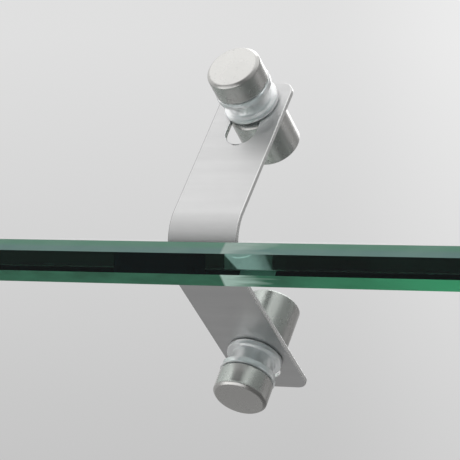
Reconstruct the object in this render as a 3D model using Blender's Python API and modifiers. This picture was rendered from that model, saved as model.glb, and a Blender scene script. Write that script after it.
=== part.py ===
"""Glass wall shelf with two bent strap brackets.

A horizontal glass pane is bonded to a slim bar on the wall. Near each end a metal strap, bent to a V
with its bend to the front, passes through a slot in the pane. Each arm of a strap has a long slot
that carries one standoff: a cap, a clear spool, a stud and a barrel, free to slide along the slot
when it is loosened.

Frame: X runs along the shelf, +Y into the wall and +Z up. The origin is on the wall, in the middle
of the bar's back face, level with the middle of the pane's thickness. Lengths are in metres.
"""

import math

import bmesh
import bpy
from mathutils import Matrix, Vector

MM = 0.001
GAP = 0.3 * MM

# Pane
PANE_LENGTH = 600 * MM
PANE_DEPTH = 135 * MM
PANE_THICKNESS = 10 * MM
PANE_ARRIS = 2.6 * MM
PANE_CORNER_RADIUS = 6 * MM

# Wall bar, its seal and its screws
BAR_LENGTH = 590 * MM
BAR_DEPTH = 12 * MM
BAR_HEIGHT = 10 * MM
BAR_EDGE = 0.5 * MM
SEAL_THICKNESS = 2 * MM
SEAL_HEIGHT = 4.4 * MM
PAD_LENGTH = 14 * MM
SCREW_SPACING = 180 * MM
SCREW_SHANK_RADIUS = 1.75 * MM
SCREW_HEAD_RADIUS = 3.6 * MM
SCREW_HEAD_DEPTH = 2.2 * MM
SCREW_LENGTH = 42 * MM
PLUG_RADIUS = 3 * MM
PLUG_RELIEF = 0.6 * MM
PLUG_LENGTH = 34 * MM
PLUG_RIB = 0.4 * MM

# Strap bracket
BRACKET_SPACING = 340 * MM
BEND_BEHIND_EDGE = 52.1 * MM
BEND_BELOW_TOP = 2.4 * MM
UPPER_RISE = math.radians(50.6)
LOWER_FALL = math.radians(37.6)
STRAP_WIDTH = 20 * MM
STRAP_THICKNESS = 1.3 * MM
STRAP_BEND_RADIUS = 12.9 * MM
STRAP_CORNER_RADIUS = 3.4 * MM
UPPER_LENGTH = 57.2 * MM
LOWER_LENGTH = 59.2 * MM
SLOT_WIDTH = 8.6 * MM
UPPER_SLOT = (40.2 * MM, 49.2 * MM)
LOWER_SLOT = (43 * MM, 50.7 * MM)
LINER_WALL = 1.0 * MM
LINER_CLEARANCE = 0.6 * MM
LINER_CORNER_RADIUS = 1.4 * MM

# Standoff; heights are measured outward from the strap's front face
UPPER_PLACE = 49.7 * MM
LOWER_PLACE = 44.4 * MM
CAP_RADIUS = 7.33 * MM
CAP_BASE = 7.65 * MM
CAP_TOP = 14.5 * MM
CAP_CHAMFER = 0.35 * MM
CAP_END_CHAMFER = 0.8 * MM
BARREL_LENGTH = 14.6 * MM
BARREL_CHAMFER = 0.5 * MM
FLANGE_RADIUS = 7.5 * MM
REAR_FLANGE = 1.3 * MM
FRONT_FLANGE = 1.8 * MM
WAIST_RADIUS = 5.8 * MM
WAIST_FILLET = 0.5 * MM
STUD_RADIUS = 3 * MM
STUD_CLEARANCE = 0.08 * MM
STUD_IN_CAP = 4.6 * MM
STUD_IN_BARREL = 10 * MM
STUD_CHAMFER = 0.5 * MM

# How finely round shapes are divided
ROUND_STEPS = 32
SMALL_STEPS = 20
BEND_STEPS = 14
END_STEPS = 12

PANE_REAR = -(BAR_DEPTH + SEAL_THICKNESS + 2 * GAP)
PANE_FRONT = PANE_REAR - PANE_DEPTH
BEND_Y = PANE_FRONT + BEND_BEHIND_EDGE
BEND_Z = PANE_THICKNESS / 2 - BEND_BELOW_TOP
SIDES = {"left": -BRACKET_SPACING / 2, "right": BRACKET_SPACING / 2}

COLOURS = {
    "glass": ((0.55, 0.78, 0.68), 0.05, 0.0),
    "satin_steel": ((0.68, 0.68, 0.68), 0.3, 1.0),
    "nickel": ((0.72, 0.71, 0.69), 0.15, 1.0),
    "clear_plastic": ((0.70, 0.76, 0.75), 0.25, 0.0),
    "zinc": ((0.62, 0.63, 0.64), 0.35, 1.0),
    "aluminium": ((0.75, 0.76, 0.77), 0.4, 1.0),
    "black_seal": ((0.02, 0.022, 0.022), 0.6, 0.0),
    "plug_grey": ((0.45, 0.46, 0.47), 0.5, 0.0),
}


def clear_scene():
    for old in list(bpy.data.objects):
        bpy.data.objects.remove(old, do_unlink=True)


def new_collection(name, shown=True):
    made = bpy.data.collections.new(name)
    bpy.context.scene.collection.children.link(made)
    made.hide_render = not shown
    return made


def new_material(name):
    colour, roughness, metallic = COLOURS[name]
    made = bpy.data.materials.new(name)
    made.use_nodes = True
    shader = made.node_tree.nodes["Principled BSDF"]
    shader.inputs["Base Color"].default_value = (*colour, 1)
    shader.inputs["Roughness"].default_value = roughness
    shader.inputs["Metallic"].default_value = metallic
    if name == "glass":
        shader.inputs["Transmission Weight"].default_value = 1.0
    return made


def add_object(name, mesh, material, place=None):
    """One sub-part with its own material, at a placement given as a matrix."""
    made = bpy.data.objects.new(name, mesh)
    PARTS.objects.link(made)
    made.data.materials.append(new_material(material))
    made.data.materials[0].name = f"{name}_{material}"
    made.matrix_world = place or Matrix.Identity(4)
    return made


def smooth(obj, angle=35):
    obj.data.shade_smooth()
    obj.data.set_sharp_from_angle(angle=math.radians(angle))


def cut(obj, name, mesh, place=None):
    """Takes one closed cutter away from an object."""
    cutter = bpy.data.objects.new(name, mesh)
    CUTTERS.objects.link(cutter)
    cutter.hide_render = True
    cutter.display_type = "WIRE"
    cutter.matrix_world = place or Matrix.Identity(4)
    boolean = obj.modifiers.new(name, "BOOLEAN")
    boolean.operation = "DIFFERENCE"
    boolean.solver = "EXACT"
    boolean.object = cutter


def box_mesh(name, size):
    mesh = bpy.data.meshes.new(name)
    bm = bmesh.new()
    bmesh.ops.create_cube(bm, size=1, matrix=Matrix.Diagonal((*size, 1)))
    bm.to_mesh(mesh)
    bm.free()
    return mesh


def plate_mesh(name, outline, thickness):
    """A closed plate: a flat outline in XY, thickened about Z = 0."""
    curve = bpy.data.curves.new(name, "CURVE")
    curve.dimensions = "2D"
    curve.fill_mode = "BOTH"
    curve.extrude = thickness / 2
    spline = curve.splines.new("POLY")
    spline.points.add(len(outline) - 1)
    for point, (x, y) in zip(spline.points, outline):
        point.co = (x, y, 0, 1)
    spline.use_cyclic_u = True
    holder = bpy.data.objects.new(name, curve)
    CUTTERS.objects.link(holder)
    bpy.context.view_layer.update()
    graph = bpy.context.evaluated_depsgraph_get()
    mesh = bpy.data.meshes.new_from_object(holder.evaluated_get(graph))
    bpy.data.objects.remove(holder, do_unlink=True)
    bm = bmesh.new()
    bm.from_mesh(mesh)
    bmesh.ops.remove_doubles(bm, verts=bm.verts, dist=1e-6)
    bmesh.ops.recalc_face_normals(bm, faces=bm.faces)
    bm.to_mesh(mesh)
    bm.free()
    return mesh


def rounded_rectangle(length, width, radius, steps):
    """Outline points of a rectangle with round corners, centred on the origin."""
    outline = []
    for quarter in range(4):
        turn = quarter * math.pi / 2
        side_x = 1 if quarter in (0, 3) else -1
        side_y = 1 if quarter in (0, 1) else -1
        centre_x = side_x * (length / 2 - radius)
        centre_y = side_y * (width / 2 - radius)
        for step in range(steps + 1):
            angle = turn + step / steps * math.pi / 2
            outline.append((centre_x + radius * math.cos(angle), centre_y + radius * math.sin(angle)))
    return outline


def slot_outline(start, end, width, steps):
    """Outline of a round-ended slot along Y, between the centres of its two ends."""
    outline = []
    for centre, turn in ((end, 0), (start, math.pi)):
        for step in range(steps + 1):
            angle = turn + step / steps * math.pi
            outline.append((width / 2 * math.cos(angle), centre + width / 2 * math.sin(angle)))
    return outline


def turned_object(name, profile, material, place, steps=ROUND_STEPS):
    """A round solid about its own Z: the profile of (radius, height) points runs down its outer side."""
    closed = profile[0][0] > 0
    mesh = bpy.data.meshes.new(name)
    count = len(profile)
    edges = [(i, i + 1) for i in range(count - 1)]
    if closed:
        edges.append((count - 1, 0))
    mesh.from_pydata([(radius, 0, height) for radius, height in profile], edges, [])
    made = add_object(name, mesh, material, place)
    add_screw(made, steps)
    return made


def add_screw(obj, steps):
    screw = obj.modifiers.new("turn", "SCREW")
    screw.steps = steps
    screw.render_steps = steps
    screw.use_merge_vertices = True
    screw.merge_threshold = 1e-6
    screw.use_smooth_shade = True


def turned_cutter(obj, name, profile, place, steps=SMALL_STEPS):
    mesh = bpy.data.meshes.new(name)
    edges = [(i, i + 1) for i in range(len(profile) - 1)]
    mesh.from_pydata([(radius, 0, height) for radius, height in profile], edges, [])
    cut(obj, name, mesh, place)
    add_screw(obj.modifiers[name].object, steps)


def glass_shelf():
    """The pane, with round corners in plan, arrises all round and one slot for each strap."""
    outline = rounded_rectangle(PANE_LENGTH, PANE_DEPTH, PANE_CORNER_RADIUS, 6)
    mesh = plate_mesh("glass_shelf", outline, PANE_THICKNESS)
    bm = bmesh.new()
    bm.from_mesh(mesh)
    bmesh.ops.dissolve_limit(bm, angle_limit=math.radians(1), verts=bm.verts, edges=bm.edges)
    rim = [edge for edge in bm.edges if abs(edge.verts[0].co.z - edge.verts[1].co.z) < 1e-6]
    bmesh.ops.bevel(bm, geom=rim, offset=PANE_ARRIS, segments=1, affect="EDGES", profile=0.5)
    bm.to_mesh(mesh)
    bm.free()
    pane = add_object("glass_shelf", mesh, "glass", Matrix.Translation((0, PANE_REAR - PANE_DEPTH / 2, 0)))
    for side, x in SIDES.items():
        opening = liner_outline(LINER_CLEARANCE + LINER_WALL + GAP)
        cutter = plate_mesh(f"pane_slot_{side}", opening, PANE_THICKNESS * 2)
        cut(pane, f"pane_slot_{side}", cutter, Matrix.Translation((x, liner_centre_y(), 0)))
    return pane


def bend_centre():
    """Centre of the strap's bend in the YZ plane."""
    half_angle = (UPPER_RISE + LOWER_FALL) / 2
    tilt = (UPPER_RISE - LOWER_FALL) / 2
    reach = STRAP_BEND_RADIUS / math.sin(half_angle)
    return Vector((BEND_Y + reach * math.cos(tilt), BEND_Z + reach * math.sin(tilt)))


def strap_span_in_pane():
    """Nearest and farthest Y of the bent strap between the pane's two faces."""
    centre = bend_centre()
    inner = STRAP_BEND_RADIUS - STRAP_THICKNESS
    top = PANE_THICKNESS / 2 - centre.y
    bottom = -PANE_THICKNESS / 2 - centre.y
    front = centre.x - math.sqrt(STRAP_BEND_RADIUS**2 - top**2)
    rear = centre.x - math.sqrt(inner**2 - bottom**2)
    return front, rear


def liner_centre_y():
    front, rear = strap_span_in_pane()
    return (front + rear) / 2


def liner_outline(margin):
    """Rounded outline that stands this far off the strap, inside the pane's thickness."""
    front, rear = strap_span_in_pane()
    radius = LINER_CORNER_RADIUS + margin - LINER_CLEARANCE
    return rounded_rectangle(STRAP_WIDTH + 2 * margin, rear - front + 2 * margin, radius, 5)


def slot_liner(side, x):
    """Black sleeve, flush with both faces, that keeps the strap off the glass."""
    mesh = plate_mesh(f"slot_liner_{side}", liner_outline(LINER_CLEARANCE + LINER_WALL), PANE_THICKNESS)
    place = Matrix.Translation((x, liner_centre_y(), 0))
    liner = add_object(f"slot_liner_{side}", mesh, "black_seal", place)
    hollow = plate_mesh(f"liner_hollow_{side}", liner_outline(LINER_CLEARANCE), PANE_THICKNESS * 2)
    cut(liner, f"liner_hollow_{side}", hollow, place)


def arm_frame(x, upper):
    """Placement on an arm: X across the strap, Y out along the arm, Z out of its front face."""
    if upper:
        along = Vector((0, math.cos(UPPER_RISE), math.sin(UPPER_RISE)))
        across = Vector((1, 0, 0))
    else:
        along = Vector((0, math.cos(LOWER_FALL), -math.sin(LOWER_FALL)))
        across = Vector((-1, 0, 0))
    outward = across.cross(along)
    frame = Matrix((across, along, outward)).transposed().to_4x4()
    frame.translation = (x, BEND_Y, BEND_Z)
    return frame


def strap_outline():
    """Side view of the strap in (Y, Z): out along the front face, back along the inner face."""
    centre = bend_centre()
    corner = Vector((BEND_Y, BEND_Z))
    upper = Vector((math.cos(UPPER_RISE), math.sin(UPPER_RISE)))
    lower = Vector((math.cos(LOWER_FALL), -math.sin(LOWER_FALL)))
    upper_in = Vector((math.sin(UPPER_RISE), -math.cos(UPPER_RISE)))
    lower_in = Vector((math.sin(LOWER_FALL), math.cos(LOWER_FALL)))
    first = math.pi / 2 + UPPER_RISE
    last = 1.5 * math.pi - LOWER_FALL
    turns = [first + (last - first) * i / BEND_STEPS for i in range(BEND_STEPS + 1)]
    outer = [centre + STRAP_BEND_RADIUS * Vector((math.cos(a), math.sin(a))) for a in turns]
    inner_radius = STRAP_BEND_RADIUS - STRAP_THICKNESS
    inner = [centre + inner_radius * Vector((math.cos(a), math.sin(a))) for a in reversed(turns)]
    upper_end = corner + UPPER_LENGTH * upper
    lower_end = corner + LOWER_LENGTH * lower
    outline = [upper_end, *outer, lower_end, lower_end + STRAP_THICKNESS * lower_in]
    return [*outline, *inner, upper_end + STRAP_THICKNESS * upper_in]


def round_strap_corners(mesh):
    """Rounds the two corners at the free end of each arm."""
    corner = Vector((BEND_Y, BEND_Z))
    nearest = min(UPPER_LENGTH, LOWER_LENGTH) - STRAP_THICKNESS
    bm = bmesh.new()
    bm.from_mesh(mesh)
    bmesh.ops.dissolve_limit(bm, angle_limit=math.radians(1), verts=bm.verts, edges=bm.edges)
    edges = []
    for edge in bm.edges:
        ends = [vert.co for vert in edge.verts]
        far = all((end.xy - corner).length > nearest for end in ends)
        if far and abs(ends[0].z - ends[1].z) < 1e-6:
            edges.append(edge)
    bmesh.ops.bevel(bm, geom=edges, offset=STRAP_CORNER_RADIUS, segments=6, affect="EDGES", profile=0.5)
    bm.to_mesh(mesh)
    bm.free()


def strap(side, x):
    """The bent strap: a side view spread over its width, then slotted through each arm."""
    mesh = plate_mesh(f"strap_{side}", strap_outline(), STRAP_WIDTH)
    round_strap_corners(mesh)
    side_view = Matrix(((0, 0, 1, x), (1, 0, 0, 0), (0, 1, 0, 0), (0, 0, 0, 1)))
    body = add_object(f"strap_{side}", mesh, "satin_steel", side_view)
    for level, span in (("upper", UPPER_SLOT), ("lower", LOWER_SLOT)):
        outline = slot_outline(*span, SLOT_WIDTH, END_STEPS)
        cutter = plate_mesh(f"arm_slot_{side}_{level}", outline, STRAP_THICKNESS * 4)
        cut(body, f"arm_slot_{side}_{level}", cutter, arm_frame(x, level == "upper"))
    return body


def cap_profile():
    """Cap with a blind bore for the stud."""
    bore = STUD_RADIUS + STUD_CLEARANCE
    base = CAP_BASE + GAP / 2
    return [
        (0, CAP_TOP),
        (CAP_RADIUS - CAP_END_CHAMFER, CAP_TOP),
        (CAP_RADIUS, CAP_TOP - CAP_END_CHAMFER),
        (CAP_RADIUS, base + CAP_CHAMFER),
        (CAP_RADIUS - CAP_CHAMFER, base),
        (bore, base),
        (bore, CAP_BASE + STUD_IN_CAP + GAP),
        (0, CAP_BASE + STUD_IN_CAP + GAP),
    ]


def spool_profile():
    """Spool: a flange at each end and a groove with round inner corners between them."""
    low = GAP
    high = CAP_BASE - GAP / 2
    groove_top = high - FRONT_FLANGE
    groove_bottom = low + REAR_FLANGE
    bore = STUD_RADIUS + GAP
    edge = 0.25 * MM
    profile = [(FLANGE_RADIUS - edge, high), (FLANGE_RADIUS, high - edge)]
    profile += [(FLANGE_RADIUS, groove_top + edge), (FLANGE_RADIUS - edge, groove_top)]
    profile += [(WAIST_RADIUS + WAIST_FILLET, groove_top), (WAIST_RADIUS, groove_top - WAIST_FILLET)]
    profile += [(WAIST_RADIUS, groove_bottom + WAIST_FILLET), (WAIST_RADIUS + WAIST_FILLET, groove_bottom)]
    profile += [(FLANGE_RADIUS - edge, groove_bottom), (FLANGE_RADIUS, groove_bottom - edge)]
    profile += [(FLANGE_RADIUS, low + edge), (FLANGE_RADIUS - edge, low)]
    return [*profile, (bore, low), (bore, high)]


def barrel_profile():
    """Barrel behind the strap, bored right through."""
    top = -STRAP_THICKNESS - GAP
    bottom = top - BARREL_LENGTH
    bore = STUD_RADIUS + STUD_CLEARANCE
    return [
        (CAP_RADIUS - BARREL_CHAMFER, top),
        (CAP_RADIUS, top - BARREL_CHAMFER),
        (CAP_RADIUS, bottom + BARREL_CHAMFER),
        (CAP_RADIUS - BARREL_CHAMFER, bottom),
        (bore, bottom),
        (bore, top),
    ]


def stud_profile():
    """Stud that joins the cap to the barrel through the strap's slot."""
    top = CAP_BASE + STUD_IN_CAP
    bottom = -STRAP_THICKNESS - GAP - STUD_IN_BARREL
    return [
        (0, top),
        (STUD_RADIUS - STUD_CHAMFER, top),
        (STUD_RADIUS, top - STUD_CHAMFER),
        (STUD_RADIUS, bottom + STUD_CHAMFER),
        (STUD_RADIUS - STUD_CHAMFER, bottom),
        (0, bottom),
    ]


def standoff(side, level, x):
    """The four pieces of one standoff, each with its origin on the standoff's axis."""
    reach = UPPER_PLACE if level == "upper" else LOWER_PLACE
    place = arm_frame(x, level == "upper") @ Matrix.Translation((0, reach, 0))
    end = f"{side}_{level}"
    turned_object(f"cap_{end}", cap_profile(), "nickel", place)
    turned_object(f"spool_{end}", spool_profile(), "clear_plastic", place)
    turned_object(f"barrel_{end}", barrel_profile(), "nickel", place)
    turned_object(f"stud_{end}", stud_profile(), "zinc", place, SMALL_STEPS)


def screw_places():
    """Placement of each wall screw, its own Z out of the wall towards the front."""
    turn = Matrix.Rotation(math.pi / 2, 4, "X")
    for number in range(4):
        yield number + 1, Matrix.Translation(((number - 1.5) * SCREW_SPACING, 0, 0)) @ turn


def head_profile(margin, depth, top):
    """Countersunk head and shank as far down as the given depth, all this much larger."""
    head = SCREW_HEAD_RADIUS + margin
    shank = SCREW_SHANK_RADIUS + margin
    return [
        (0, top),
        (head, top),
        (head, BAR_DEPTH - GAP * 2),
        (shank, BAR_DEPTH - GAP * 2 - SCREW_HEAD_DEPTH),
        (shank, depth),
        (0, depth),
    ]


def bar_hole_profile():
    """Countersunk hole, wider at the wall so that the end of a plug can't hold the bar off it."""
    below = -BAR_DEPTH / 2
    relief = PLUG_RADIUS + GAP
    profile = head_profile(GAP, PLUG_RELIEF, BAR_DEPTH * 1.5)
    return [*profile[:-1], (relief, PLUG_RELIEF), (relief, below), (0, below)]


def wall_bar():
    """Solid bar on the wall, countersunk for its screws."""
    mesh = box_mesh("wall_bar", (BAR_LENGTH, BAR_DEPTH, BAR_HEIGHT))
    bar = add_object("wall_bar", mesh, "aluminium", Matrix.Translation((0, -BAR_DEPTH / 2, 0)))
    bevel = bar.modifiers.new("edges", "BEVEL")
    bevel.width = BAR_EDGE
    bevel.segments = 1
    for number, place in screw_places():
        turned_cutter(bar, f"screw_hole_{number}", bar_hole_profile(), place)


def wall_fixings():
    """Countersunk screws in the bar and the plugs they are driven into."""
    for number, place in screw_places():
        bottom = BAR_DEPTH - SCREW_LENGTH
        profile = head_profile(0, bottom + SCREW_SHANK_RADIUS, BAR_DEPTH - GAP)
        profile[-1] = (0, bottom)
        turned_object(f"bar_screw_{number}", profile, "zinc", place, SMALL_STEPS)
        turned_object(f"wall_plug_{number}", plug_profile(), "plug_grey", place, SMALL_STEPS)


def plug_profile():
    """Ribbed sleeve around the screw, starting just behind the wall's face."""
    pitch = (PLUG_LENGTH - 2 * GAP) / 6
    profile = []
    for rib in range(6):
        top = -GAP - rib * pitch
        profile += [(PLUG_RADIUS, top), (PLUG_RADIUS, top - 0.55 * pitch)]
        profile += [(PLUG_RADIUS - PLUG_RIB, top - 0.7 * pitch)]
    bottom = -GAP - 6 * pitch
    bore = SCREW_SHANK_RADIUS + GAP
    return [*profile, (PLUG_RADIUS - PLUG_RIB, bottom), (bore, bottom), (bore, -GAP)]


def seal_and_pads():
    """Black seal along the pane's rear edge, broken by a clear setting pad behind each bracket."""
    middle_y = -(BAR_DEPTH + GAP + SEAL_THICKNESS / 2)
    for side, x in SIDES.items():
        mesh = box_mesh(f"setting_pad_{side}", (PAD_LENGTH, SEAL_THICKNESS, SEAL_HEIGHT))
        add_object(f"setting_pad_{side}", mesh, "clear_plastic", Matrix.Translation((x, middle_y, 0)))
    near = BRACKET_SPACING / 2 - PAD_LENGTH / 2 - GAP
    far = BRACKET_SPACING / 2 + PAD_LENGTH / 2 + GAP
    spans = {"left": (-BAR_LENGTH / 2, -far), "middle": (-near, near), "right": (far, BAR_LENGTH / 2)}
    for name, (start, end) in spans.items():
        mesh = box_mesh(f"seal_{name}", (end - start, SEAL_THICKNESS, SEAL_HEIGHT))
        add_object(f"seal_{name}", mesh, "black_seal", Matrix.Translation(((start + end) / 2, middle_y, 0)))


def build():
    glass_shelf()
    wall_bar()
    seal_and_pads()
    wall_fixings()
    for side, x in SIDES.items():
        smooth(strap(side, x))
        slot_liner(side, x)
        for level in ("upper", "lower"):
            standoff(side, level, x)


clear_scene()
PARTS = new_collection("wall shelf with brackets")
CUTTERS = new_collection("cutters", shown=False)
build()
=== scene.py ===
"""Finish model of a glass wall shelf with bent strap brackets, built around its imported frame.

The frame gives every place and size. This script adds the pieces' fine surfaces, their materials,
and a plain studio: background, lights and camera.
"""

import math

import bmesh
import bpy
import numpy as np
from mathutils import Matrix, Vector


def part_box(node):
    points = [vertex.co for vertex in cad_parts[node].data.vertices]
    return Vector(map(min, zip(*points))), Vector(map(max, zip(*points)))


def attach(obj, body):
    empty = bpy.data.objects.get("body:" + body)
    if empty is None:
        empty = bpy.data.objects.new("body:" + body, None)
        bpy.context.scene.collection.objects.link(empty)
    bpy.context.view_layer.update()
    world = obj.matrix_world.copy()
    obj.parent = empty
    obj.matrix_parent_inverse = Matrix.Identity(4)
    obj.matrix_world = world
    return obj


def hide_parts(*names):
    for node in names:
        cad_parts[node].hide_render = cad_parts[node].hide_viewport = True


bl_info = {
    "name": "Glass Shelf Finish",
    "version": (1, 0, 0),
    "blender": (4, 5, 0),
    "location": "3D View > Sidebar > Shelf",
    "description": "Adds fine surfaces, materials and a studio to a glass shelf with strap brackets",
    "category": "Add Mesh",
}

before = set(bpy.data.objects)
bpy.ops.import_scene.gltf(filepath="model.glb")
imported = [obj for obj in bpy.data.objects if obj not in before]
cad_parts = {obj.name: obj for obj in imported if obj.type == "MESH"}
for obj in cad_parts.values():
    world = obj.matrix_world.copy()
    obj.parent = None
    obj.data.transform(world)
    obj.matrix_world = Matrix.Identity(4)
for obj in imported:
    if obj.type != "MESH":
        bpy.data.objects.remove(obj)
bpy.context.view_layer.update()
MM = 0.001
SIDES = ("left", "right")
LEVELS = ("upper", "lower")

# How the arms slope, how far along them the standoffs stand, and where the bend lies in the pane.
UPPER_RISE = math.radians(50.6)
LOWER_FALL = math.radians(37.6)
ARM_REACH = {"upper": 49.7 * MM, "lower": 44.4 * MM}
BEND_BEHIND_EDGE = 52.1 * MM
BEND_BELOW_TOP = 2.4 * MM

# Between pieces that touch in life, and from a slot to the straight line that ends its patch.
GAP = 0.3 * MM
SLOT_MARGIN = 3 * MM


def box_arrays(node):
    """Lowest and highest corner of a frame node as arrays."""
    low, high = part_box(node)
    return np.array(low), np.array(high)


def bracket_x(side):
    """Middle of a bracket across the shelf."""
    low, high = box_arrays(f"strap_{side}")
    return (low[0] + high[0]) / 2


def bend_corner(side):
    """Where the two outer faces of a strap would meet if its bend were sharp."""
    low, high = box_arrays("glass_shelf")
    return np.array((bracket_x(side), low[1] + BEND_BEHIND_EDGE, high[2] - BEND_BELOW_TOP))


def arm_axes(level):
    """Unit vectors of an arm: across it, out along it and out of its front face."""
    if level == "upper":
        along = np.array((0, math.cos(UPPER_RISE), math.sin(UPPER_RISE)))
        across = np.array((1.0, 0, 0))
    else:
        along = np.array((0, math.cos(LOWER_FALL), -math.sin(LOWER_FALL)))
        across = np.array((-1.0, 0, 0))
    return across, along, np.cross(across, along)


# ---------------------------------------------------------------- sizes and colours


class ShelfSizes(bpy.types.PropertyGroup):
    """Sizes of the fine surfaces."""

    strap_width: bpy.props.FloatProperty(
        name="Strap Width", description="Width of the bent strap", default=20 * MM, unit="LENGTH"
    )
    strap_thickness: bpy.props.FloatProperty(
        name="Strap Thickness", description="Thickness of the bent strap",
        default=1.3 * MM, unit="LENGTH"
    )
    bend_radius: bpy.props.FloatProperty(
        name="Bend Radius", description="Radius of the strap's bend on its front face",
        default=12.9 * MM, unit="LENGTH"
    )
    arm_length: bpy.props.FloatVectorProperty(
        name="Arm Lengths", description="Length of the upper and the lower arm from the sharp corner",
        default=(57.2 * MM, 59.2 * MM), size=2, unit="LENGTH"
    )
    end_radius: bpy.props.FloatProperty(
        name="End Radius", description="Radius of the corners at the end of an arm",
        default=3.4 * MM, unit="LENGTH"
    )
    upper_slot: bpy.props.FloatVectorProperty(
        name="Upper Slot", description="Centres of the upper slot's two ends",
        default=(40.2 * MM, 49.2 * MM), size=2, unit="LENGTH"
    )
    lower_slot: bpy.props.FloatVectorProperty(
        name="Lower Slot", description="Centres of the lower slot's two ends",
        default=(43 * MM, 50.7 * MM), size=2, unit="LENGTH"
    )
    slot_width: bpy.props.FloatProperty(
        name="Slot Width", description="Width of the slot", default=8.6 * MM, unit="LENGTH"
    )
    cap_radius: bpy.props.FloatProperty(
        name="Cap Radius", description="Radius of the cap and the barrel", default=7.33 * MM, unit="LENGTH"
    )
    cap_base: bpy.props.FloatProperty(
        name="Cap Base", description="Height of the cap's base over the strap",
        default=7.8 * MM, unit="LENGTH"
    )
    cap_top: bpy.props.FloatProperty(
        name="Cap Top", description="Height of the cap's end over the strap",
        default=14.5 * MM, unit="LENGTH"
    )
    cap_edge: bpy.props.FloatProperty(
        name="Cap Edge", description="Width of the bevel round the cap's end",
        default=0.8 * MM, unit="LENGTH"
    )
    waist_radius: bpy.props.FloatProperty(
        name="Waist Radius", description="Radius of the spool's groove", default=5.8 * MM, unit="LENGTH"
    )
    flange_radius: bpy.props.FloatProperty(
        name="Flange Radius", description="Radius of the spool's flanges", default=7.5 * MM, unit="LENGTH"
    )
    rear_flange: bpy.props.FloatProperty(
        name="Rear Flange", description="Thickness of the flange on the strap",
        default=1.3 * MM, unit="LENGTH"
    )
    front_flange: bpy.props.FloatProperty(
        name="Front Flange", description="Thickness of the flange on the cap",
        default=1.8 * MM, unit="LENGTH"
    )
    barrel_length: bpy.props.FloatProperty(
        name="Barrel Length", description="Length of the barrel", default=14.6 * MM, unit="LENGTH"
    )


class ShelfColours(bpy.types.PropertyGroup):
    """Colours of the finishes."""

    glass: bpy.props.FloatVectorProperty(
        name="Glass Tint", description="Colour left in light after a long way through the glass",
        default=(0.22, 0.66, 0.52), subtype="COLOR"
    )
    steel: bpy.props.FloatVectorProperty(
        name="Satin Steel", description="Colour of the strap",
        default=(0.735, 0.735, 0.735), subtype="COLOR"
    )
    # Painted highlight: a lighter steel colour for the strap's cut edges.
    steel_edge_highlight: bpy.props.FloatVectorProperty(
        name="Steel Edge Highlight", description="Colour of the strap's cut edges",
        default=(0.97, 0.97, 0.96), subtype="COLOR"
    )
    nickel: bpy.props.FloatVectorProperty(
        name="Nickel", description="Colour of caps and barrels",
        default=(0.69, 0.685, 0.665), subtype="COLOR"
    )
    plastic: bpy.props.FloatVectorProperty(
        name="Clear Plastic", description="Colour of the spools",
        default=(0.86, 0.92, 0.925), subtype="COLOR"
    )
    rubber: bpy.props.FloatVectorProperty(
        name="Rubber", description="Colour of seals and slot liners",
        default=(0.008, 0.012, 0.015), subtype="COLOR"
    )
    zinc: bpy.props.FloatVectorProperty(
        name="Zinc", description="Colour of screws and studs", default=(0.60, 0.61, 0.63), subtype="COLOR"
    )
    aluminium: bpy.props.FloatVectorProperty(
        name="Aluminium", description="Colour of the wall bar", default=(0.76, 0.77, 0.78), subtype="COLOR"
    )
    plug: bpy.props.FloatVectorProperty(
        name="Plug", description="Colour of the wall plugs", default=(0.42, 0.43, 0.44), subtype="COLOR"
    )


class StudioSettings(bpy.types.PropertyGroup):
    """Camera, lights and background."""

    turn: bpy.props.FloatProperty(
        name="Turn", description="How far to the right the camera stands",
        default=math.radians(28.91), subtype="ANGLE"
    )
    pitch: bpy.props.FloatProperty(
        name="Pitch", description="How far down the camera looks",
        default=math.radians(-0.11), subtype="ANGLE"
    )
    roll: bpy.props.FloatProperty(
        name="Roll", description="How far the camera leans", default=math.radians(0.82), subtype="ANGLE"
    )
    distance: bpy.props.FloatProperty(
        name="Distance", description="From the camera to the bracket's bend", default=0.691, unit="LENGTH"
    )
    aside: bpy.props.FloatVectorProperty(
        name="Aside", description="How far right of and above the bend the middle of the view lies",
        default=(9.9 * MM, 5.24 * MM), size=2, unit="LENGTH"
    )
    lens: bpy.props.FloatProperty(name="Lens", description="Focal length in millimetres", default=215.2)
    front: bpy.props.FloatProperty(
        name="Front", description="Share of light left behind the camera", default=0.2
    )
    panel: bpy.props.FloatProperty(
        name="Panel", description="Brightness of the panel at the back", default=1.6
    )


# ---------------------------------------------------------------- surfaces


def new_piece(name, points, quads, body):
    """A mesh piece from arrays of points and four-cornered faces, riding on a body of the frame."""
    mesh = bpy.data.meshes.new(name)
    mesh.from_pydata(points.tolist(), [], quads.tolist())
    piece = bpy.data.objects.new(name, mesh)
    bpy.context.scene.collection.objects.link(piece)
    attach(piece, body)
    return piece


def merge_points(mesh, distance=1e-7):
    """Joins points that fall on each other, such as a turned shape's poles and seams."""
    bm = bmesh.new()
    bm.from_mesh(mesh)
    bmesh.ops.remove_doubles(bm, verts=bm.verts, dist=distance)
    bmesh.ops.dissolve_degenerate(bm, dist=distance, edges=bm.edges)
    bm.to_mesh(mesh)
    bm.free()


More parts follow.
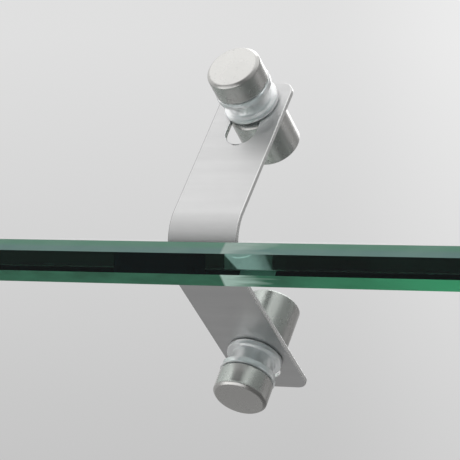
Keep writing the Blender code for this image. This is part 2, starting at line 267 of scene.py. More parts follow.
def softened(profile, radius, steps=5):
    """Rounds the corners of a closed profile.

    Each corner B, with A and C a radius away from it on its two sides, becomes the parabola
    (1-t)^2 A + 2t(1-t) B + t^2 C, for t from 0 to 1. Sides shorter than two radii are cut to half."""
    corner = np.asarray(profile, float)
    radius = np.broadcast_to(radius, len(corner))[:, None]
    before = np.roll(corner, 1, 0) - corner
    after = np.roll(corner, -1, 0) - corner
    length_before = np.linalg.norm(before, axis=1, keepdims=True)
    length_after = np.linalg.norm(after, axis=1, keepdims=True)
    reach = np.minimum(radius, np.minimum(length_before, length_after) * 0.49)
    start = corner + before / length_before * reach
    end = corner + after / length_after * reach
    t = np.linspace(0, 1, steps)[None, :, None]
    curve = (1 - t) ** 2 * start[:, None] + 2 * t * (1 - t) * corner[:, None] + t**2 * end[:, None]
    return curve.reshape(-1, 2)


def turned_surface(profile, turns=96):
    """A closed profile of (radius, height) points carried round the height axis.

    Point (i, j) is (r_i cos a_j, r_i sin a_j, h_i) with a_j = 2 pi j / turns."""
    radius, height = np.asarray(profile, float).T
    angle = np.arange(turns) * 2 * np.pi / turns
    points = np.stack(
        (
            np.outer(radius, np.cos(angle)),
            np.outer(radius, np.sin(angle)),
            np.outer(height, np.ones(turns)),
        ),
        -1,
    )
    rows, columns = np.meshgrid(np.arange(len(radius)), np.arange(turns), indexing="ij")
    next_row = (rows + 1) % len(radius)
    next_column = (columns + 1) % turns
    quads = np.stack(
        (
            rows * turns + columns,
            next_row * turns + columns,
            next_row * turns + next_column,
            rows * turns + next_column,
        ),
        -1,
    )
    return points.reshape(-1, 3), quads.reshape(-1, 4)


def turned_layout(profile, turns=96):
    """UV of each face corner of a turned surface: share of a turn, and length along the profile in cm."""
    profile = np.asarray(profile, float)
    steps = np.linalg.norm(np.roll(profile, -1, 0) - profile, axis=1)
    length = np.concatenate(((0,), np.cumsum(steps))) * 100
    rows, columns = np.meshgrid(np.arange(len(profile)), np.arange(turns), indexing="ij")
    u = np.stack((columns, columns, columns + 1, columns + 1), -1) / turns
    v = np.stack((length[rows], length[rows + 1], length[rows + 1], length[rows]), -1)
    return np.stack((u, v), -1).reshape(-1, 2)


def standoff_piece(kind, side, level, profile, body):
    """A turned piece on the axis of one standoff, in place of the frame's plain solid."""
    points, quads = turned_surface(profile)
    across, along, outward = arm_axes(level)
    centre = bend_corner(side) + ARM_REACH[level] * along
    points = centre + points @ np.stack((across, along, outward))
    piece = new_piece(f"{kind}_fine_{side}_{level}", points, quads, body)
    layout = piece.data.uv_layers.new(name="turned_layout")
    layout.data.foreach_set("uv", turned_layout(profile).ravel().astype(np.float32))
    merge_points(piece.data)
    piece.data.shade_smooth()
    piece.data.set_sharp_from_angle(angle=math.radians(28))
    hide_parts(f"{kind}_{side}_{level}")
    return piece


def cap_profile(sizes):
    """Cap, from the middle of its end round its blind bore and base to the bevel at its end."""
    bore = 3.1 * MM
    depth = sizes.cap_base + 4.8 * MM
    base, top, outer = sizes.cap_base, sizes.cap_top, sizes.cap_radius
    chamfer_width, chamfer_height = 0.25 * MM, 0.35 * MM
    corners = [(0, top), (0, depth), (bore, depth), (bore, base)]
    corners += [(outer - chamfer_width, base), (outer, base + chamfer_height)]
    corners += [(outer, top - sizes.cap_edge), (outer - sizes.cap_edge, top)]
    rounding = np.array((0, 0, 0, 0.1, 0.12, 0.12, 0.3, 0.25)) * MM
    return softened(corners, rounding)


def spool_profile(sizes):
    """Spool with two flanges, a groove with round inner corners and a bore."""
    low = GAP
    high = sizes.cap_base - GAP
    bore = 3.3 * MM
    rear = low + sizes.rear_flange
    front = high - sizes.front_flange
    corners = [(bore, high), (bore, low), (sizes.flange_radius, low), (sizes.flange_radius, rear)]
    corners += [(sizes.waist_radius, rear), (sizes.waist_radius, front)]
    corners += [(sizes.flange_radius, front), (sizes.flange_radius, high)]
    rounding = np.array((0.1, 0.1, 0.35, 0.4, 0.6, 0.6, 0.4, 0.35)) * MM
    return softened(corners, rounding, steps=7)


def barrel_profile(sizes):
    """Barrel with a bright chamfer at each end and a through bore."""
    top = -sizes.strap_thickness - GAP
    bottom = top - sizes.barrel_length
    bore = 3.1 * MM
    chamfer = 0.5 * MM
    outer = sizes.cap_radius
    corners = [(bore, top), (bore, bottom), (outer - chamfer, bottom), (outer, bottom + chamfer)]
    corners += [(outer, top - chamfer), (outer - chamfer, top)]
    return softened(corners, radius=0.12 * MM)


def slot_reach(angle, half_width, half_length):
    """Distance from a slot's centre to its wall in each direction.

    The straight sides give half_width / |cos a|. Where that lies past the half length, the round end
    gives |half_length sin a| + sqrt(half_width^2 - (half_length cos a)^2)."""
    cosine = np.abs(np.cos(angle))
    sine = np.abs(np.sin(angle))
    straight = half_width / np.maximum(cosine, 1e-9)
    under = np.maximum(half_width**2 - (half_length * cosine) ** 2, 0)
    return np.where(straight * sine <= half_length, straight, half_length * sine + np.sqrt(under))


def arm_end_outline(half_width, start, end, radius, columns):
    """Outline of the flat end of an arm, anticlockwise: a straight side shared with the rest of the
    strap, two long sides, and an end whose corners are quarter circles."""
    corner_points, side_points, end_points = 9, 24, 18
    shared = np.stack((np.linspace(-half_width, half_width, columns), np.full(columns, start)), -1)
    turn = np.linspace(0, np.pi / 2, corner_points)
    corner = np.stack((np.cos(turn), np.sin(turn)), -1) * radius
    first = corner + (half_width - radius, end - radius)
    second = corner[::-1] * (-1, 1) + (radius - half_width, end - radius)
    rise = np.linspace(start, end - radius, side_points)[1:-1]
    right = np.stack((np.full(len(rise), half_width), rise), -1)
    top_x = np.linspace(half_width - radius, radius - half_width, end_points)[1:-1]
    top = np.stack((top_x, np.full(len(top_x), end)), -1)
    return np.concatenate((shared, right, first, top, second, right[::-1] * (-1, 1)))


def ring_patch(outline, centre, half_width, half_length, rings=7):
    """Flat patch between an outline and the slot in it: straight lines from each outline point
    towards the slot's centre, divided evenly up to the slot's wall."""
    away = outline - centre
    angle = np.arctan2(away[:, 1], away[:, 0])
    wall = centre + slot_reach(angle, half_width, half_length)[:, None] * np.stack(
        (np.cos(angle), np.sin(angle)), -1
    )
    share = (np.linspace(0, 1, rings) ** 1.3)[:, None, None]
    points = wall * (1 - share) + outline * share
    count = len(outline)
    ring, step = np.meshgrid(np.arange(rings - 1), np.arange(count), indexing="ij")
    after = (step + 1) % count
    quads = np.stack(
        (ring * count + step, (ring + 1) * count + step, (ring + 1) * count + after, ring * count + after), -1
    )
    return points.reshape(-1, 2), quads.reshape(-1, 4)


def strip_patch(half_width, start, end, columns, rows=121):
    """Flat grid between the two arm ends; it holds the bend."""
    across, along = np.meshgrid(
        np.linspace(-half_width, half_width, columns), np.linspace(start, end, rows), indexing="xy"
    )
    points = np.stack((across, along), -1).reshape(-1, 2)
    row, column = np.meshgrid(np.arange(rows - 1), np.arange(columns - 1), indexing="ij")
    first = row * columns + column
    quads = np.stack((first, first + 1, first + columns + 1, first + columns), -1)
    return points, quads.reshape(-1, 4)


def arm_end_patch(sizes, slot, length, unrolled, columns):
    """Slotted flat end of an arm, in (across, along), and where it starts."""
    half_width = sizes.strap_width / 2
    half_slot = sizes.slot_width / 2
    start = unrolled + slot[0] - half_slot - SLOT_MARGIN
    outline = arm_end_outline(half_width, start, unrolled + length, sizes.end_radius, columns)
    middle = np.array((0, unrolled + (slot[0] + slot[1]) / 2))
    points, quads = ring_patch(outline, middle, half_slot, (slot[1] - slot[0]) / 2)
    return points, quads, start


def strap_patches(sizes, tangent, half_arc):
    """The strap's front face laid out flat, in (across, along): two slotted ends and the strip between.

    Along is zero in the middle of the bend, so a place p on an arm lies at half_arc + p - tangent."""
    columns = 25
    unrolled = half_arc - tangent
    slots = (sizes.upper_slot, sizes.lower_slot)
    (upper, upper_quads, top), (lower, lower_quads, bottom) = (
        arm_end_patch(sizes, slot, length, unrolled, columns) for slot, length in zip(slots, sizes.arm_length)
    )
    strip, strip_quads = strip_patch(sizes.strap_width / 2, -bottom, top, columns)
    points = np.concatenate((upper, strip, lower * (1, -1)))
    quads = (upper_quads, strip_quads + len(upper), lower_quads[:, ::-1] + len(upper) + len(strip))
    return points, np.concatenate(quads)


def bent(flat, side, sizes, half_turn):
    """Rolls flat (across, along) points up into the V.

    With f the along distance over the bend radius R, held between -half_turn and half_turn, and e
    what is left of the distance, a point is C + R N(f) + e T(f). N(f) is the front face's normal
    and T(f) its direction along the strap."""
    radius = sizes.bend_radius
    tilt = (UPPER_RISE - LOWER_FALL) / 2
    back = np.array((0, math.cos(tilt), math.sin(tilt)))
    up = np.array((0, -math.sin(tilt), math.cos(tilt)))
    centre = bend_corner(side) + radius / math.cos(half_turn) * back
    turn = np.clip(flat[:, 1] / radius, -half_turn, half_turn)[:, None]
    rest = flat[:, 1:] - radius * turn
    normal = up * np.sin(turn) - back * np.cos(turn)
    along = up * np.cos(turn) + back * np.sin(turn)
    return centre + radius * normal + rest * along + flat[:, :1] * np.array((1.0, 0, 0))


def flat_layout(place):
    """A place on the flat strap as UV: 100 mm to a unit, with the middle of the bend at a half."""
    return place * 10 + 0.5


def strap_piece(side, sizes):
    """A strap of even thickness with softened edges; its UV map is its flat layout."""
    half_turn = (math.pi - UPPER_RISE - LOWER_FALL) / 2
    tangent = sizes.bend_radius * math.tan(half_turn)
    flat, quads = strap_patches(sizes, tangent, sizes.bend_radius * half_turn)
    piece = new_piece(f"strap_fine_{side}", bent(flat, side, sizes, half_turn), quads, "shelf")
    layout = piece.data.uv_layers.new(name="flat_layout")
    loop_points = np.zeros(len(piece.data.loops), np.int32)
    piece.data.loops.foreach_get("vertex_index", loop_points)
    layout.data.foreach_set("uv", flat_layout(flat[loop_points]).ravel().astype(np.float32))
    merge_points(piece.data, 1e-6)
    shell = piece.modifiers.new("thickness", "SOLIDIFY")
    shell.thickness = sizes.strap_thickness
    shell.offset = -1
    shell.use_even_offset = True
    edges = piece.modifiers.new("edges", "BEVEL")
    edges.width = 0.28 * MM
    edges.segments = 2
    edges.limit_method = "ANGLE"
    edges.angle_limit = math.radians(50)
    edges.harden_normals = True
    piece.data.shade_smooth()
    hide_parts(f"strap_{side}")
    return piece


# ---------------------------------------------------------------- materials


class Tree:
    """A node tree with short calls to add and join nodes and to work with their values."""

    def __init__(self, tree):
        self.tree = tree

    def add(self, kind, **settings):
        node = self.tree.nodes.new(kind)
        for key, value in settings.items():
            setattr(node, key, value)
        return node

    def join(self, source, target):
        self.tree.links.new(source, target)

    def feed(self, socket, value):
        """Gives a socket a number, a colour or another node's output."""
        if isinstance(value, (int, float)):
            socket.default_value = value
        elif isinstance(value, tuple):
            socket.default_value = (*value, 1)
        else:
            self.join(value, socket)

    def math(self, operation, *values):
        """One arithmetic node; each value is a number or another node's output."""
        node = self.add("ShaderNodeMath", operation=operation)
        for socket, value in zip(node.inputs, values):
            self.feed(socket, value)
        return node.outputs["Value"]

    def product(self, first, *others):
        for other in others:
            first = self.math("MULTIPLY", first, other)
        return first

    def total(self, first, *others):
        for other in others:
            first = self.math("ADD", first, other)
        return first

    def away(self, value, middle):
        """Distance of a value from a middle, on either side of it."""
        return self.math("ABSOLUTE", self.math("SUBTRACT", value, middle))

    def spread(self, value, low, high, start=0.3, end=0.7, kind="LINEAR"):
        """Maps values from start to end onto low to high, and holds them there outside."""
        node = self.add("ShaderNodeMapRange", interpolation_type=kind)
        for name, number in (("From Min", start), ("From Max", end), ("To Min", low), ("To Max", high)):
            node.inputs[name].default_value = number
        self.join(value, node.inputs["Value"])
        return node.outputs["Result"]

    def axes(self, vector):
        """The X, Y and Z of a vector."""
        split = self.add("ShaderNodeSeparateXYZ")
        self.join(vector, split.inputs["Vector"])
        return split.outputs


class Finish(Tree):
    """A material's node tree, with the coordinates and noises that its shader is fed from."""

    def __init__(self, name):
        self.material = bpy.data.materials.new(name)
        self.material.use_nodes = True
        super().__init__(self.material.node_tree)
        self.shader = self.tree.nodes["Principled BSDF"]
        self.output = self.tree.nodes["Material Output"]

    def set(self, **values):
        """Feeds the shader's own sockets; an underscore stands for a space."""
        for key, value in values.items():
            self.feed(self.shader.inputs[key.replace("_", " ")], value)

    def place(self, stretch=(1, 1, 1), use_uv=False):
        """Object coordinates, or the piece's own flat layout, stretched by the given factors."""
        coordinates = self.add("ShaderNodeTexCoord")
        mapping = self.add("ShaderNodeMapping")
        mapping.inputs["Scale"].default_value = stretch
        self.join(coordinates.outputs["UV" if use_uv else "Object"], mapping.inputs["Vector"])
        return mapping.outputs["Vector"]

    def facing(self):
        """The way a face points."""
        return self.axes(self.add("ShaderNodeNewGeometry").outputs["True Normal"])

    def outward(self, middle):
        """How far outward of a bracket's middle plane a point lies, alike on both sides."""
        return self.math("SUBTRACT", self.math("ABSOLUTE", self.axes(self.place())["X"]), float(middle))

    def noise(self, where, scale, detail=4.0, roughness=0.55):
        node = self.add("ShaderNodeTexNoise")
        node.inputs["Scale"].default_value = scale
        node.inputs["Detail"].default_value = detail
        node.inputs["Roughness"].default_value = roughness
        self.join(where, node.inputs["Vector"])
        return node.outputs["Fac"]

    def tinted(self, value, first, second):
        """A colour between two, by a value from 0 to 1."""
        node = self.add("ShaderNodeMix", data_type="RGBA")
        for socket, source in (("Factor", value), ("A", first), ("B", second)):
            self.feed(node.inputs[socket], source)
        return node.outputs["Result"]

    def weather(self, pattern, roughness, dark, light):
        """Roughness and colour that follow one pattern, each between two ends."""
        shade = self.tinted(self.spread(pattern, 0, 1), dark, light)
        self.set(Roughness=self.spread(pattern, *roughness), Base_Color=shade)

    def bump(self, height, strength, distance):
        node = self.add("ShaderNodeBump")
        node.inputs["Strength"].default_value = strength
        node.inputs["Distance"].default_value = distance
        self.join(height, node.inputs["Height"])
        self.set(Normal=node.outputs["Normal"])


def darker(colour, share):
    return tuple(channel * share for channel in colour)


def satin_steel(colour, edge_highlight_colour):
    """Brushed strip with a fine grain across its width, faint bands where it was rolled, smoother cut
    edges whose lighter colour is a painted highlight, and a darker line along one of them."""
    finish = Finish("satin steel")
    grain = finish.noise(finish.place((25, 500, 1), use_uv=True), 1.0, 3)
    bands = finish.noise(finish.place((2, 22, 1), use_uv=True), 1.0, 3)
    # The cut edges, found by the way a face points, get a lower roughness and a lighter colour that is a
    # painted highlight.
    cut = finish.spread(finish.math("ABSOLUTE", finish.facing()["X"]), 0, 1, 0.2, 0.35)
    rough = finish.math("MULTIPLY_ADD", cut, -0.16, finish.spread(grain, 0.38, 0.46))
    shade = finish.tinted(finish.spread(bands, 0, 1), darker(colour, 0.93), colour)
    shade = finish.tinted(cut, shade, edge_highlight_colour)
    # A darker line along one long edge, fading out 0.3 mm in from it.
    across = finish.axes(finish.place(use_uv=True))["X"]
    dark_edge_line = finish.spread(across, 1, 0, flat_layout(-9.82 * MM), flat_layout(-9.70 * MM))
    shade = finish.tinted(dark_edge_line, shade, darker(colour, 0.45))
    finish.set(Metallic=1.0, Roughness=rough, Base_Color=shade)
    finish.bump(grain, 0.05, 0.04 * MM)
    return finish.material


def bright_nickel(colour):
    """Turned and plated: a soft mirror with fine lines along its sides, pits and a few dull specks."""
    finish = Finish("bright nickel")
    pits = finish.noise(finish.place(), 1400, 2)
    cloud = finish.noise(finish.place(), 160, 4)
    lines = finish.noise(finish.place((260, 2, 1), use_uv=True), 1.0, 2)
    shade = finish.tinted(finish.spread(pits, 1, 0, 0.26, 0.36), colour, darker(colour, 0.8))
    finish.set(Metallic=1.0, Roughness=finish.spread(cloud, 0.22, 0.32), Base_Color=shade)
    finish.bump(finish.math("MULTIPLY_ADD", lines, 2.5, cloud), 0.06, 0.2 * MM)
    return finish.material


def clear_plastic(colour):
    """Slightly cloudy bluish plastic that lets light through."""
    finish = Finish("clear plastic")
    finish.set(IOR=1.46, Transmission_Weight=0.72)
    cloud = finish.noise(finish.place(), 300, 3)
    finish.weather(cloud, (0.1, 0.22), darker(colour, 0.93), colour)
    finish.bump(cloud, 0.04, 0.2 * MM)
    return finish.material


# Greens of the ground arrises. The lower arris is painted darker than the upper one as painted shade.
ARRIS_GREENS_AND_PAINTED_LIGHT = {
    "upper": (0.105, 0.25, 0.225),
    "upper rim": (0.08, 0.285, 0.18),
    "upper streak": (0.19, 0.38, 0.30),
    "upper painted pad light": (0.50, 0.64, 0.58),
    "lower": (0.014, 0.13, 0.065),
    "lower streak": (0.038, 0.24, 0.13),
    "lower painted highlight far out": (0.045, 0.60, 0.25),
    "lower painted pad light": (0.62, 0.88, 0.76),
}


def arris_green_and_painted_light(finish, out, upper):
    """Green light that the ground arrises scatter, the lower one painted darker and deeper as painted shade.

    With out the distance outward of a bracket, both are paler from 37 to 50 mm, a painted light that
    stands in for the light of its setting pad, and the lower one brightens from 52 to 92 mm as a painted
    highlight."""
    rim = float(box_arrays("glass_shelf")[1][2])
    height = finish.axes(finish.place())["Z"]
    streak = finish.spread(finish.noise(finish.place((12, 1, 40)), 8, 3), 0, 1)
    # Painted light: a paler patch by each pad, with a shimmering outer side.
    shimmer = finish.spread(finish.noise(finish.place((9, 1, 130)), 8, 2), -1, 1)
    fading = finish.math("MULTIPLY_ADD", shimmer, 5 * MM, out)
    painted_pad_light = finish.product(
        finish.spread(out, 0, 1, 37.2 * MM, 37.8 * MM), finish.spread(fading, 1, 0, 40 * MM, 50 * MM)
    )
    greens = ARRIS_GREENS_AND_PAINTED_LIGHT
    above = finish.spread(height, 0, 1, rim - 1.6 * MM, rim - 0.9 * MM)
    above = finish.tinted(above, greens["upper"], greens["upper rim"])
    above = finish.tinted(finish.product(streak, 0.35), above, greens["upper streak"])
    above = finish.tinted(finish.product(painted_pad_light, 0.8), above, greens["upper painted pad light"])
    # Painted shade: the lower arris starts from a darker green than the upper one.
    below = finish.tinted(streak, greens["lower"], greens["lower streak"])
    # Painted highlight: the lower arris grows brighter further out from the bracket.
    below = finish.tinted(finish.spread(out, 0, 0.8, 52 * MM, 92 * MM), below, greens["lower painted highlight far out"])
    below = finish.tinted(painted_pad_light, below, greens["lower painted pad light"])
    return finish.tinted(upper, below, above)


def painted_shade_on_glass(finish, out, ground, upright):
    """One where the glass is painted near black as painted shade, and zero elsewhere: the upright walls
    of the slots, next to the liners, and the rear arrises at the seal. The arrises stay clear from 2 mm
    inward to 8.4 mm outward of a bracket, where the painted glow of its pad shows."""
    place = finish.axes(finish.place())
    low, high = box_arrays("slot_liner_right")
    middle, reach = (low + high) / 2, (high - low) / 2 + 0.5 * MM
    near_x = finish.math("COMPARE", finish.math("ABSOLUTE", place["X"]), middle[0], reach[0])
    near_y = finish.math("COMPARE", place["Y"], middle[1], reach[1])
    rear = finish.math("GREATER_THAN", place["Y"], float(box_arrays("glass_shelf")[1][1]) - 4 * MM)
    rear = finish.math("SUBTRACT", rear, finish.math("COMPARE", out, 3.2 * MM, 5.2 * MM))
    return finish.math("MAXIMUM", finish.product(near_x, near_y, upright), finish.product(rear, ground))


def green_glass(colour, black):
    """Float glass: clear through its faces, green along its depth, with finely ground arrises.

    The arrises are the faces whose normal has |z| near the square root of a half. They let some
    light through and scatter the rest, in a green that holds painted shade and painted light. The
    slot walls and the rear arrises are painted near black as painted shade."""
    finish = Finish("float glass")
    facing = finish.facing()["Z"]
    slope = finish.math("ABSOLUTE", facing)
    ground = finish.math("COMPARE", slope, math.sqrt(0.5), 0.2)
    upright = finish.math("LESS_THAN", slope, 0.2)
    upper = finish.math("GREATER_THAN", facing, 0)
    out = finish.outward(bracket_x("right"))
    # The arrises take a green with painted shade and painted light in it.
    shade = finish.tinted(ground, (0.97, 0.995, 0.985), arris_green_and_painted_light(finish, out, upper))
    grit = finish.spread(finish.noise(finish.place(), 900, 2), 0.28, 0.38)
    rough = finish.math("MULTIPLY_ADD", ground, grit, 0.005)
    finish.set(IOR=1.52, Base_Color=shade, Roughness=rough)
    finish.set(Transmission_Weight=finish.spread(ground, 1, 0.4, 0, 1))
    # Painted shade: a near-black coat on the slot walls and rear arrises.
    painted_shade = finish.add("ShaderNodeBsdfDiffuse")
    finish.feed(painted_shade.inputs["Color"], (black[0] * 0.5, black[1] * 1.1, black[2] * 1.1))
    either = finish.add("ShaderNodeMixShader")
    finish.join(painted_shade_on_glass(finish, out, ground, upright), either.inputs["Fac"])
    finish.join(finish.shader.outputs["BSDF"], either.inputs[1])
    finish.join(painted_shade.outputs["BSDF"], either.inputs[2])
    finish.join(either.outputs["Shader"], finish.output.inputs["Surface"])
    depth = finish.add("ShaderNodeVolumeAbsorption")
    finish.feed(depth.inputs["Color"], colour)
    depth.inputs["Density"].default_value = 10
    finish.join(depth.outputs["Volume"], finish.output.inputs["Volume"])
    return finish.material


def pad_with_painted_glow(colour):
    """Clear setting pad whose slanting middle has a painted glow, standing in for the wall's light behind it.

    With u the distance from the bracket's middle plane and z the height, the glow is bright from
    u = -5.4 mm - 1.05 z to u = 5.6 mm - 0.5 z, and fades towards that second side. A thin painted
    glint along z = 0.8 mm + 58 (u + 3 mm)^2 is brighter still, from u = -5 mm to 1 mm."""
    finish = Finish("pad with painted glow")
    cloud = finish.noise(finish.place(), 260, 3)
    finish.weather(cloud, (0.3, 0.5), darker(colour, 0.2), darker(colour, 0.3))
    low, high = box_arrays("setting_pad_right")
    height = finish.axes(finish.place())["Z"]
    out = finish.outward((low[0] + high[0]) / 2)
    near = finish.math("MULTIPLY_ADD", height, 1.05, out)
    far = finish.math("MULTIPLY_ADD", height, 0.5, out)
    # Painted glow: emission in a slanting band, standing in for light seen through the pad.
    light = finish.product(
        finish.spread(near, 0, 1, -5.7 * MM, -5.1 * MM),
        finish.spread(far, 1, 0, 5.2 * MM, 6 * MM),
        finish.spread(far, 1, 0.45, 1 * MM, 5 * MM),
        finish.spread(cloud, 0.85, 1.1),
    )
    # Painted glint: a thin curved line of stronger emission.
    square = finish.math("POWER", finish.away(out, -3 * MM), 2.0)
    lift = finish.away(finish.math("MULTIPLY_ADD", square, -58.0, height), 0.8 * MM)
    line = finish.product(
        finish.spread(lift, 1, 0, 0.05 * MM, 0.25 * MM),
        finish.spread(finish.away(out, -2 * MM), 1, 0, 2 * MM, 3.2 * MM),
    )
    strength = finish.product(finish.total(light, line), 0.46)
    finish.set(Emission_Strength=strength, Emission_Color=(1, 0.86, 0.95))
    return finish.material


def matt_black(colour):
    """Black rubber with a fine bloom."""
    finish = Finish("black rubber")
    bloom = finish.noise(finish.place(), 900, 3)
    finish.weather(bloom, (0.45, 0.7), darker(colour, 0.7), colour)
    finish.bump(bloom, 0.1, 0.05 * MM)
    return finish.material


def drawn_metal(name, colour, along, roughness):
    """Drawn or rolled metal with long fine lines along one axis."""
    finish = Finish(name)
    finish.set(Metallic=1.0)
    stretch = [700.0, 700.0, 700.0]
    stretch[along] = 12.0
    lines = finish.noise(finish.place(stretch), 1.0, 3)
    finish.weather(lines, (roughness, roughness + 0.12), darker(colour, 0.9), colour)
    finish.bump(lines, 0.05, 0.05 * MM)
    return finish.material


def moulded_plastic(name, colour):
    """Plain moulded plastic with a slight orange-peel."""
    finish = Finish(name)
    peel = finish.noise(finish.place(), 700, 3)
    finish.weather(peel, (0.4, 0.55), darker(colour, 0.92), colour)
    finish.bump(peel, 0.08, 0.1 * MM)
    return finish.material


def dress(obj, material):
    """Gives an object one material in place of any it has."""
    obj.data.materials.clear()
    obj.data.materials.append(material)


def dress_nodes(names, material):
    """Gives frame nodes a better material without touching their shape."""
    for name in names:
        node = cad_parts[name]
        if not node.material_slots:
            node.data.materials.append(material)
        for slot in node.material_slots:
            slot.material = material


# ---------------------------------------------------------------- studio


def camera_axes(studio):
    """Right, up and forward of the camera after its turn, pitch and roll."""
    turn, pitch, roll = studio.turn, studio.pitch, studio.roll
    right = np.array((math.cos(turn), math.sin(turn), 0))
    forward = np.array(
        (-math.sin(turn) * math.cos(pitch), math.cos(turn) * math.cos(pitch), -math.sin(pitch))
    )
    up = np.cross(right, forward)
    leaned_right = right * math.cos(roll) + up * math.sin(roll)
    leaned_up = -right * math.sin(roll) + up * math.cos(roll)
    return leaned_right, leaned_up, forward


def add_camera(studio):
    """Camera level with the pane, off to the right of the bracket it looks at."""
    right, up, forward = camera_axes(studio)
    aim = bend_corner("right") + right * studio.aside[0] + up * studio.aside[1]
    place = aim - forward * studio.distance
    data = bpy.data.cameras.new("camera")
    data.lens = studio.lens
    data.sensor_width = 36
    data.clip_start = 0.01
    data.clip_end = 50
    camera = bpy.data.objects.new("camera", data)
    columns = [[*axis, 0] for axis in (right, up, -forward)] + [[*place, 1]]
    camera.matrix_world = Matrix(columns).transposed()
    bpy.context.scene.collection.objects.link(camera)
    bpy.context.scene.camera = camera


def add_light(name, towards, offset, side, power):
    """Soft square light at an offset from the point that it faces."""
    data = bpy.data.lights.new(name, "AREA")
    data.size = side
    data.energy = power
    light = bpy.data.objects.new(name, data)
    light.rotation_euler = (-Vector(offset)).to_track_quat("-Z", "Y").to_euler()
    light.location = towards + offset
    bpy.context.scene.collection.objects.link(light)
    return light


class Room(Tree):
    """The surroundings' node tree. X, y and z are the parts of the direction that is looked along."""

    def __init__(self, tree):
        super().__init__(tree)
        parts = self.axes(self.add("ShaderNodeTexCoord").outputs["Generated"])
        self.x, self.y, self.z = (parts[axis] for axis in "XYZ")

    def slope(self, value, start, end, low, high):
        """Low up to start, high from end on, smooth between."""
        return self.spread(value, low, high, start, end, "SMOOTHSTEP")

    def curve(self, value, stops):
        """Straight lines through (part of the direction, brightness) stops from -1 to 1."""
        node = self.add("ShaderNodeFloatCurve")
        line = node.mapping.curves[0]
        top = max(height for _, height in stops)
        line.points[0].location = (0, stops[0][1] / top)
        line.points[1].location = (1, stops[-1][1] / top)
        for part, height in stops[1:-1]:
            line.points.new((part + 1) / 2, height / top)
        for point in line.points:
            point.handle_type = "VECTOR"
        node.mapping.update()
        self.join(self.math("MULTIPLY_ADD", value, 0.5, 0.5), node.inputs["Value"])
        return self.product(node.outputs["Value"], top)

    def patch(self, strength, x=(), y=(), z=()):
        """A patch of light with soft sides. Along each axis it rises over the first stretch that is
        given and falls over the second; a stretch that is None leaves that side open."""
        shares = [strength]
        for part, sides in ((self.x, x), (self.y, y), (self.z, z)):
            for stretch, ends in zip(sides, ((0, 1), (1, 0))):
                if stretch:
                    shares.append(self.slope(part, *stretch, *ends))
        return self.product(*shares)


# Brightness by the height and by the side that is looked at, and patches that add to it or, under
# the shelf, take from it. Their numbers are parts of the direction, from -1 to 1.
BY_HEIGHT = (
    (-1, 0.22), (-0.8, 0.32), (-0.5, 0.38), (-0.15, 0.52), (-0.06, 0.61), (0, 0.69), (0.07, 0.775),
    (0.3, 0.84), (0.6, 0.88), (0.85, 1.03), (1, 1.05),
)
BY_SIDE = ((-1, 0.85), (-0.6, 0.93), (-0.43, 1.03), (-0.3, 0.85), (0, 0.6), (0.4, 0.40), (1, 0.36))
UNDERFOOT = {"strength": 0.25, "x": ((-0.42, -0.3), (0.3, 0.5)), "z": (None, (-0.92, -0.86))}
DARK_BELOW = {"strength": 0.9, "x": ((-0.17, -0.09), (0.03, 0.11)), "z": (None, (-0.97, -0.85))}
RIGHT_GLOW = {
    "strength": 0.24,
    "x": ((0.45, 0.6), (0.8, 0.95)),
    "y": ((0.42, 0.56),),
    "z": (None, (-0.06, 0.02)),
}
BACK_PANEL = {"x": ((-0.41, -0.33), (-0.01, 0.07)), "y": ((0.3, 0.5),), "z": ((0.04, 0.08),)}
HIGH_PANEL = {"strength": 0.42, "x": ((-0.1, 0.25), (0.64, 0.76)), "z": ((0.62, 0.78),)}
FRONT_PANEL = {
    "strength": 1,
    "x": ((-0.95, -0.7), (0.2, 0.45)),
    "y": (None, (-0.6, -0.4)),
    "z": ((-0.53, -0.43), (-0.13, -0.03)),
}


def studio_world(studio):
    """Surroundings by direction: bright overhead, pale behind the shelf, dim to the right and behind
    the camera, dark at the floor but for a pale patch with a dark middle, and with a glow low at the
    right. Three panels stand at the back, high at the right and low behind the camera. All of it
    lights the shelf; the camera itself sees a plain pale backdrop, a little brighter at the right."""
    world = bpy.data.worlds.new("studio")
    bpy.context.scene.world = world
    world.use_nodes = True
    room = Room(world.node_tree)
    height = room.curve(room.z, BY_HEIGHT)
    level = room.math("MULTIPLY_ADD", room.math("ABSOLUTE", room.z), 1.6, room.y)
    front = room.slope(level, -0.95, 0.05, studio.front, 1)
    light = room.product(height, room.curve(room.x, BY_SIDE), front)
    light = room.total(light, room.patch(**UNDERFOOT), room.patch(**RIGHT_GLOW))
    light = room.product(light, room.math("SUBTRACT", 1, room.patch(**DARK_BELOW)))
    back = room.patch(studio.panel, **BACK_PANEL)
    light = room.total(light, back, room.patch(**HIGH_PANEL), room.patch(**FRONT_PANEL))
    seen = room.add("ShaderNodeLightPath").outputs["Is Camera Ray"]
    backdrop = room.product(height, room.slope(room.x, -0.46, -0.4, 0.955, 1.08), seen)
    light = room.total(room.product(light, room.math("SUBTRACT", 1, seen)), backdrop)
    room.join(light, world.node_tree.nodes["Background"].inputs["Color"])


def add_floor():
    """Plain pale floor far below the shelf, a flat disc of rings."""
    rings, turns = 8, 64
    height, reach = -1.2, 4
    radius = np.linspace(0, reach, rings + 1)
    points, quads = turned_surface(np.stack((radius, np.full(rings + 1, height)), -1), turns)
    mesh = bpy.data.meshes.new("floor")
    mesh.from_pydata(points.tolist(), [], quads[: rings * turns].tolist())
    floor = bpy.data.objects.new("floor", mesh)
    bpy.context.scene.collection.objects.link(floor)
    merge_points(mesh)
    finish = Finish("pale floor")
    finish.set(Base_Color=(0.72, 0.72, 0.72), Roughness=0.8)
    dress(floor, finish.material)
    floor.visible_glossy = False
    floor.visible_transmission = False


# ---------------------------------------------------------------- operators


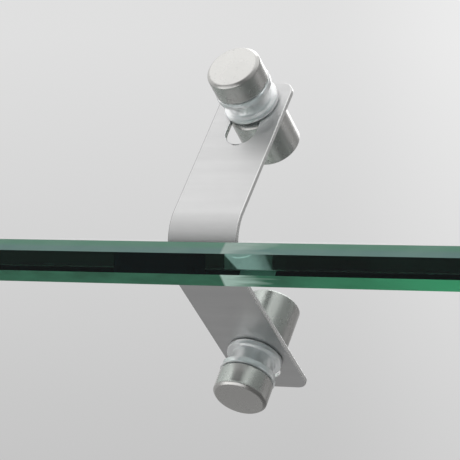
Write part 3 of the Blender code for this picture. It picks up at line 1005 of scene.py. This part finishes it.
class SHELF_OT_pane(bpy.types.Operator):
    """Gives the pane its glass."""

    bl_idname = "shelf.pane"
    bl_label = "Glass Pane"

    def execute(self, context):
        colours = context.scene.shelf_colours
        dress_nodes(["glass_shelf"], green_glass(colours.glass[:], colours.rubber[:]))
        return {"FINISHED"}


class SHELF_OT_straps(bpy.types.Operator):
    """Builds both bent straps."""

    bl_idname = "shelf.straps"
    bl_label = "Straps"

    def execute(self, context):
        colours = context.scene.shelf_colours
        steel = satin_steel(colours.steel[:], colours.steel_edge_highlight[:])
        for side in SIDES:
            dress(strap_piece(side, context.scene.shelf_sizes), steel)
        return {"FINISHED"}


class SHELF_OT_standoffs(bpy.types.Operator):
    """Builds the caps, spools and barrels of all the standoffs."""

    bl_idname = "shelf.standoffs"
    bl_label = "Standoffs"

    def execute(self, context):
        sizes = context.scene.shelf_sizes
        colours = context.scene.shelf_colours
        finishes = {
            "nickel": bright_nickel(colours.nickel[:]),
            "clear_plastic": clear_plastic(colours.plastic[:]),
        }
        pieces = (
            ("cap", cap_profile(sizes), "knob", "nickel"),
            ("spool", spool_profile(sizes), "standoff", "clear_plastic"),
            ("barrel", barrel_profile(sizes), "standoff", "nickel"),
        )
        for side in SIDES:
            for level in LEVELS:
                for kind, profile, body, slot in pieces:
                    piece = standoff_piece(kind, side, level, profile, f"{body}_{side}_{level}")
                    dress(piece, finishes[slot])
        return {"FINISHED"}


class SHELF_OT_fixings(bpy.types.Operator):
    """Finishes the wall bar, seals, pads, screws, plugs, liners and studs."""

    bl_idname = "shelf.fixings"
    bl_label = "Wall Fixings"

    def execute(self, context):
        colours = context.scene.shelf_colours
        black = matt_black(colours.rubber[:])
        zinc = drawn_metal("zinc plate", colours.zinc[:], along=1, roughness=0.28)
        aluminium = drawn_metal("drawn aluminium", colours.aluminium[:], along=0, roughness=0.3)
        dress_nodes(["wall_bar"], aluminium)
        dress_nodes([f"seal_{span}" for span in ("left", "middle", "right")], black)
        dress_nodes([f"slot_liner_{side}" for side in SIDES], black)
        # The setting pads carry a painted glow.
        dress_nodes([f"setting_pad_{side}" for side in SIDES], pad_with_painted_glow(colours.plastic[:]))
        fixings = range(1, 5)
        dress_nodes([f"bar_screw_{number}" for number in fixings], zinc)
        dress_nodes([f"stud_{side}_{level}" for side in SIDES for level in LEVELS], zinc)
        plug = moulded_plastic("grey plug", colours.plug[:])
        dress_nodes([f"wall_plug_{number}" for number in fixings], plug)
        return {"FINISHED"}


class SHELF_OT_stage(bpy.types.Operator):
    """Sets up the camera, lights, floor and background."""

    bl_idname = "shelf.stage"
    bl_label = "Studio"

    def execute(self, context):
        studio = context.scene.shelf_studio
        middle = bend_corner("right")
        context.scene.view_settings.view_transform = "Standard"
        add_camera(studio)
        studio_world(studio)
        add_floor()
        add_light("overhead softbox", middle, offset=(-0.5, 0.1, 1.2), side=1.2, power=0.6)
        fill = add_light("front fill", middle, offset=(0.5, -0.9, 0.1), side=0.5, power=4)
        fill.visible_glossy = False
        return {"FINISHED"}


class SHELF_PT_panel(bpy.types.Panel):
    """Lists the pieces of the shelf, its sizes and its colours."""

    bl_idname = "SHELF_PT_panel"
    bl_label = "Glass Shelf"
    bl_space_type = "VIEW_3D"
    bl_region_type = "UI"
    bl_category = "Shelf"

    def draw(self, context):
        layout = self.layout
        for operator in OPERATORS:
            layout.operator(operator.bl_idname)
        scene = context.scene
        groups = (scene.shelf_sizes, ShelfSizes), (scene.shelf_colours, ShelfColours)
        for group, kind in groups:
            box = layout.box()
            for name in kind.__annotations__:
                box.prop(group, name)


OPERATORS = (SHELF_OT_pane, SHELF_OT_straps, SHELF_OT_standoffs, SHELF_OT_fixings, SHELF_OT_stage)
CLASSES = (ShelfSizes, ShelfColours, StudioSettings, *OPERATORS, SHELF_PT_panel)


def register():
    for each in CLASSES:
        bpy.utils.register_class(each)
    bpy.types.Scene.shelf_sizes = bpy.props.PointerProperty(type=ShelfSizes)
    bpy.types.Scene.shelf_colours = bpy.props.PointerProperty(type=ShelfColours)
    bpy.types.Scene.shelf_studio = bpy.props.PointerProperty(type=StudioSettings)


def unregister():
    del bpy.types.Scene.shelf_studio
    del bpy.types.Scene.shelf_colours
    del bpy.types.Scene.shelf_sizes
    for each in reversed(CLASSES):
        bpy.utils.unregister_class(each)


def main():
    register()
    bpy.ops.shelf.pane()
    bpy.ops.shelf.straps()
    bpy.ops.shelf.standoffs()
    bpy.ops.shelf.fixings()
    bpy.ops.shelf.stage()


if __name__ == "__main__":
    main()
